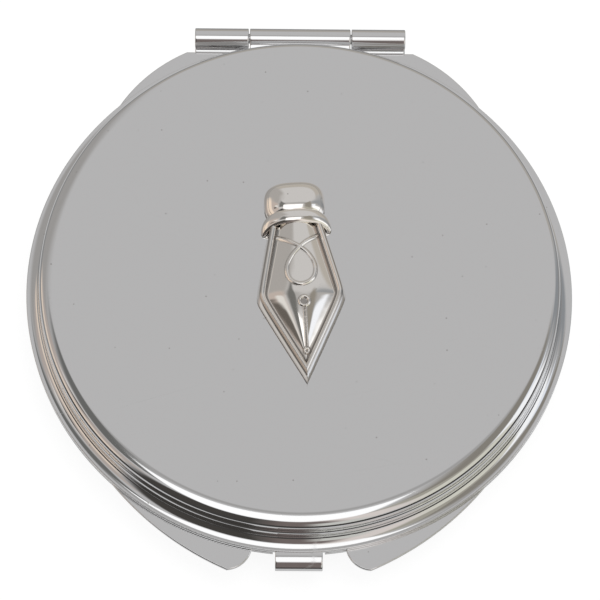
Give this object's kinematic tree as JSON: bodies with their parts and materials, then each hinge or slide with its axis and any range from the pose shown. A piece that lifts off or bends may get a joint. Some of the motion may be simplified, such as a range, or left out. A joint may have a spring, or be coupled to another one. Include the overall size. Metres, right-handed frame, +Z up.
{
  "type": "compact mirror",
  "caption": "Round folding pocket mirror in polished chrome with a knuckle hinge, a rolled thumb tab and a raised pen nib emblem on the lid; opens to a mirror in each half.",
  "frame": {"origin": "centre of the flat underside of the base, on the table plane", "axes": "+Z up out of the lid, +X along the hinge pin, +Y from the thumb tab to the hinge; drawn closed"},
  "size_m": [0.07, 0.0739, 0.0136],
  "materials": {
    "polished_chrome": "polished",
    "emblem_chrome": "polished, slightly warm",
    "steel_pin": "drawn wire",
    "spring_steel": "rolled strip",
    "backing_board": "raw grey board",
    "mirror_glass": "polished",
    "bezel_plastic": "satin silver",
    "adhesive": "cured clear"
  },
  "bodies": {
    "base": {"base_cover": "polished_chrome", "base_frame_ring": "polished_chrome", "base_plate": "polished_chrome", "hinge_pin": "steel_pin", "catch_spring": "spring_steel", "catch_rivets": "steel_pin", "base_backing_pad": "backing_board", "base_mirror": "mirror_glass", "base_bezel": "bezel_plastic"},
    "lid": {"lid_cover": "polished_chrome", "lid_frame_ring": "polished_chrome", "lid_plate": "polished_chrome", "lid_backing_pad": "backing_board", "lid_mirror": "mirror_glass", "lid_bezel": "bezel_plastic", "nib_emblem": "emblem_chrome", "emblem_adhesive": "adhesive"}
  },
  "joints": [
    {"name": "lid_hinge", "type": "hinge", "parent": "base", "child": "lid", "pos_m": [0, 0.0357, 0.0062], "axis": [-1, 0, 0], "range_deg": [0, 170]}
  ]
}
